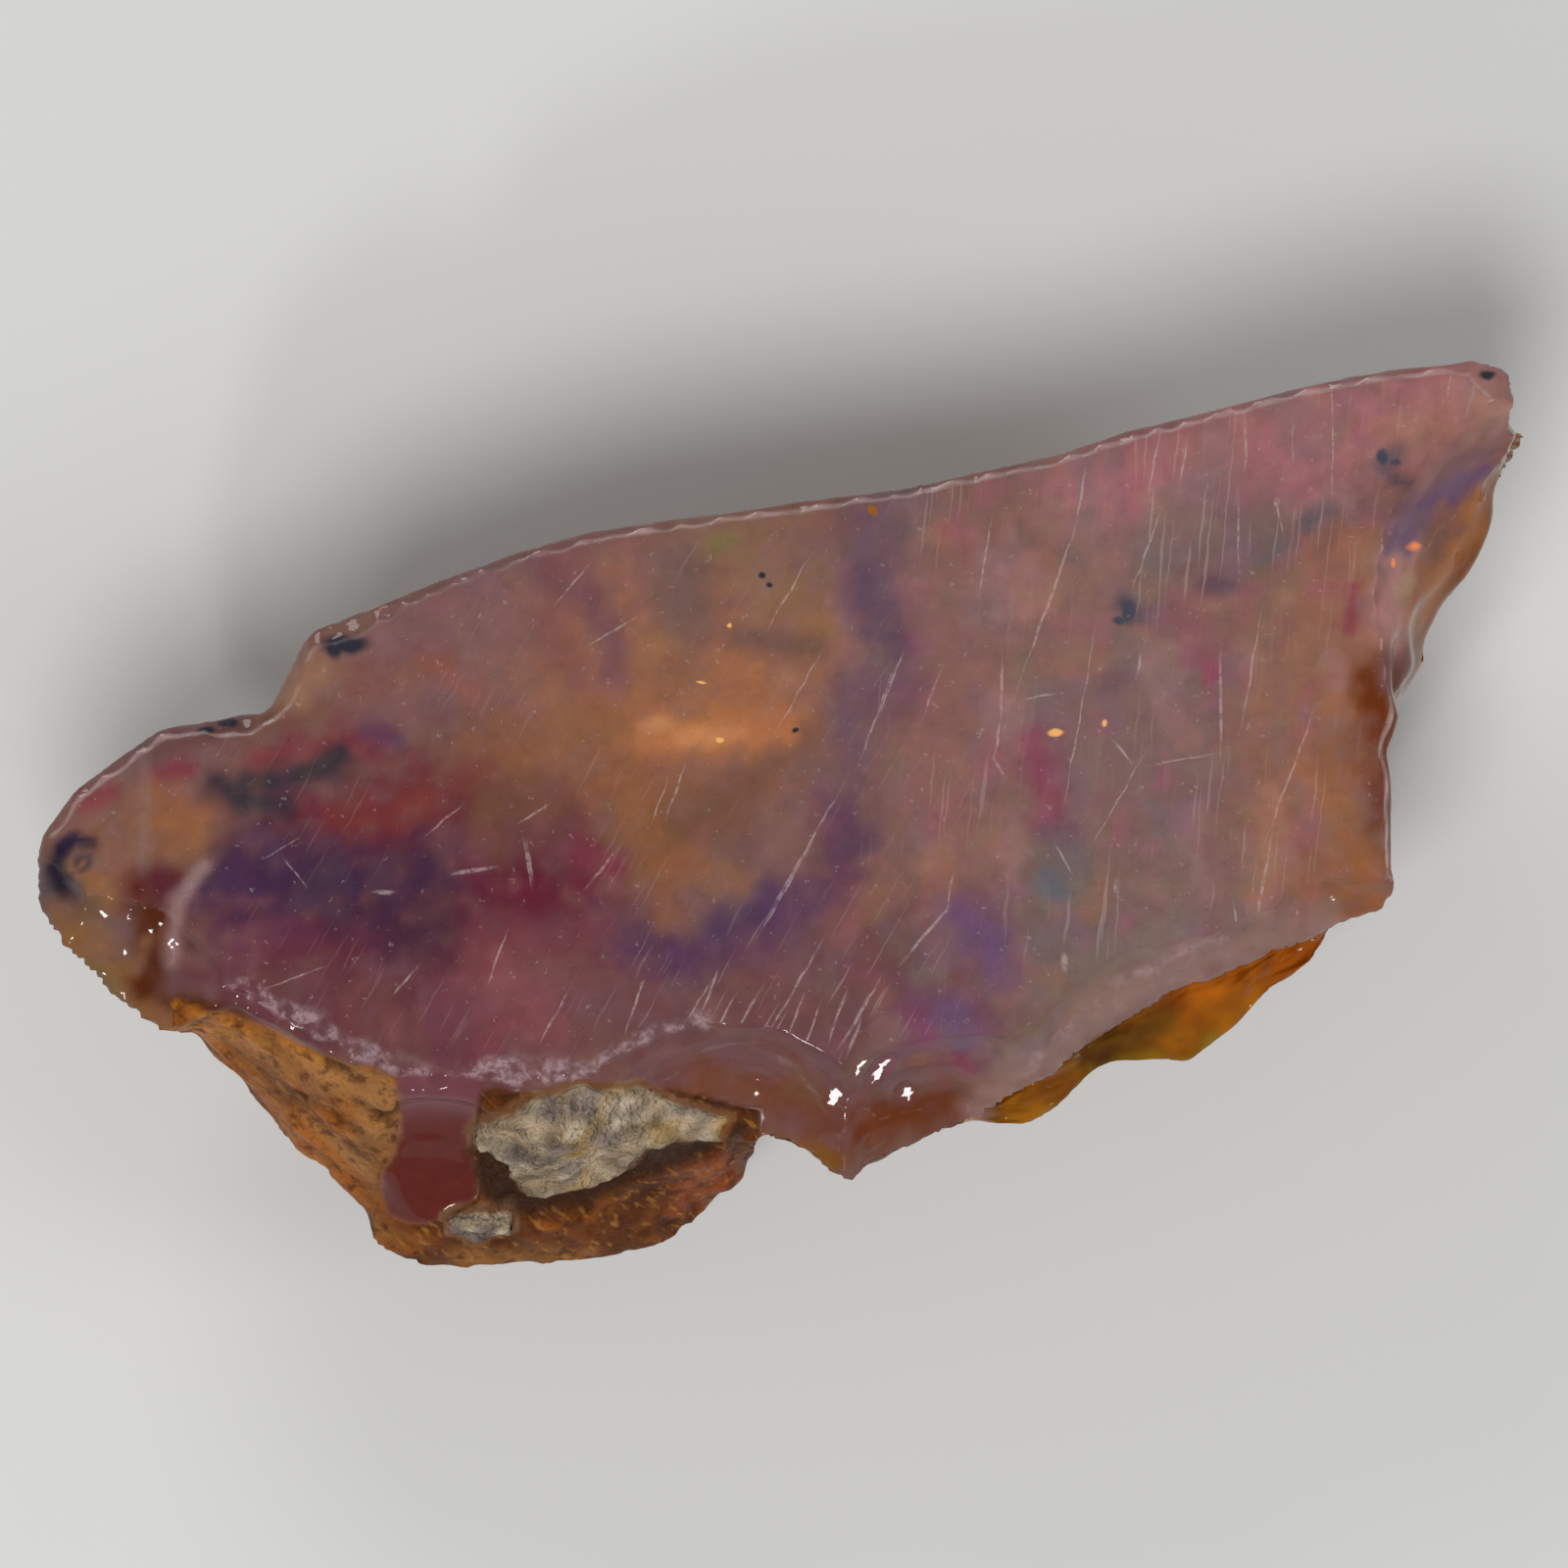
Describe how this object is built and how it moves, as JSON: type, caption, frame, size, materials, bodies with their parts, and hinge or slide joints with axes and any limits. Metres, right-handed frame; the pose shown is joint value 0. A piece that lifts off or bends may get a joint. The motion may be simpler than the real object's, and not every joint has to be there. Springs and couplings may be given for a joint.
{
  "type": "rough ethiopian opal",
  "caption": "Broken chip of a precious opal nodule with one flat sawn window, brown rind and a crust of pale host rock, lying on its belly.",
  "frame": {"origin": "under the middle of the stone's bounding box, on the surface that it lies on", "axes": "+X along the stone's length, to the pictured right; +Y up the picture; +Z out of the sawn window, which is level"},
  "size_m": [0.0269, 0.0164, 0.0076],
  "materials": {
    "opal": "honey-brown to grey translucent opal with a play of red, orange, green and violet, waxy where it is broken, matt with coarse scratches on the sawn window, and dull brown with cream host rock on the rind"
  },
  "bodies": {
    "root": {"opal": "opal"}
  },
  "joints": []
}
